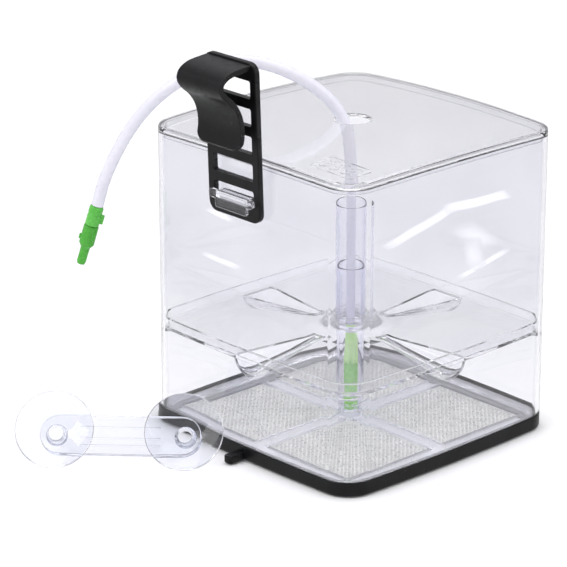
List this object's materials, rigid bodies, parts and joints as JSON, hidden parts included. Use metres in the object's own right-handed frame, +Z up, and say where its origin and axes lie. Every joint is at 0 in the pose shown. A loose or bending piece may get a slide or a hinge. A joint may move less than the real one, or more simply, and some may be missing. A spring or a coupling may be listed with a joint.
{
  "type": "aquarium fish hatching box",
  "caption": "Clear in-tank fish hatching box with mesh floor, lift-out hopper tray, air-lift riser, domed lid, ladder hanger, air line and loose suction-cup bracket.",
  "frame": {"origin": "on the floor plane, at the middle of the flat underside of the hub foot, on the box's vertical centre line", "axes": "+Z up; the walls are square to X and Y; the hanger is on the -Y wall"},
  "size_m": [0.1689, 0.2263, 0.2039],
  "materials": {
    "clear_plastic": "clear, polished",
    "soft_clear_vinyl": "clear, soft",
    "black_plastic": "satin",
    "woven_steel": "fine woven wire",
    "green_plastic": "satin",
    "light_green_plastic": "satin, translucent",
    "milky_hose": "milky, translucent"
  },
  "bodies": {
    "base": {"base_ring": "black_plastic", "mesh_frame": "clear_plastic", "mesh_panel_front_left": "woven_steel", "mesh_panel_front_right": "woven_steel", "mesh_panel_back_right": "woven_steel", "mesh_panel_back_left": "woven_steel"},
    "tank": {"tank_shell": "clear_plastic"},
    "lid": {"lid": "clear_plastic", "air_line": "milky_hose", "nozzle_body": "green_plastic", "nozzle_cap": "light_green_plastic", "connector_collar": "light_green_plastic", "connector_body": "green_plastic"},
    "tray": {"hopper_tray": "clear_plastic", "chimney_tube": "clear_plastic"},
    "riser": {"riser_pipe": "clear_plastic"},
    "hanger": {"hanger": "black_plastic"},
    "bracket": {"suction_bracket": "clear_plastic"},
    "cup_left": {"suction_cup_left": "soft_clear_vinyl"},
    "cup_right": {"suction_cup_right": "soft_clear_vinyl"}
  },
  "joints": [
    {"name": "tank_lift", "type": "slide", "parent": "base", "child": "tank", "axis": [0, 0, 1], "range_m": [0, 0.02]},
    {"name": "lid_lift", "type": "slide", "parent": "tank", "child": "lid", "axis": [0, 0, 1], "range_m": [0, 0.04]},
    {"name": "tray_lift", "type": "slide", "parent": "tank", "child": "tray", "axis": [0, 0, 1], "range_m": [0, 0.03]},
    {"name": "riser_lift", "type": "slide", "parent": "base", "child": "riser", "axis": [0, 0, 1], "range_m": [0, 0.01]},
    {"name": "hanger_slide", "type": "slide", "parent": "tank", "child": "hanger", "axis": [0, 0.0384, -0.9993], "range_m": [0, 0.0042]},
    {"name": "bracket_slide", "type": "slide", "parent": "base", "child": "bracket", "axis": [-0.7181, -0.6959, 0], "range_m": [0, 0.05]},
    {"name": "cup_left_spin", "type": "hinge", "parent": "bracket", "child": "cup_left", "pos_m": [-0.06373, -0.1383, 0.01585], "axis": [0.558, -0.5758, 0.5976], "continuous": true},
    {"name": "cup_right_spin", "type": "hinge", "parent": "bracket", "child": "cup_right", "pos_m": [-0.01849, -0.09446, 0.01585], "axis": [0.558, -0.5758, 0.5976], "continuous": true}
  ]
}
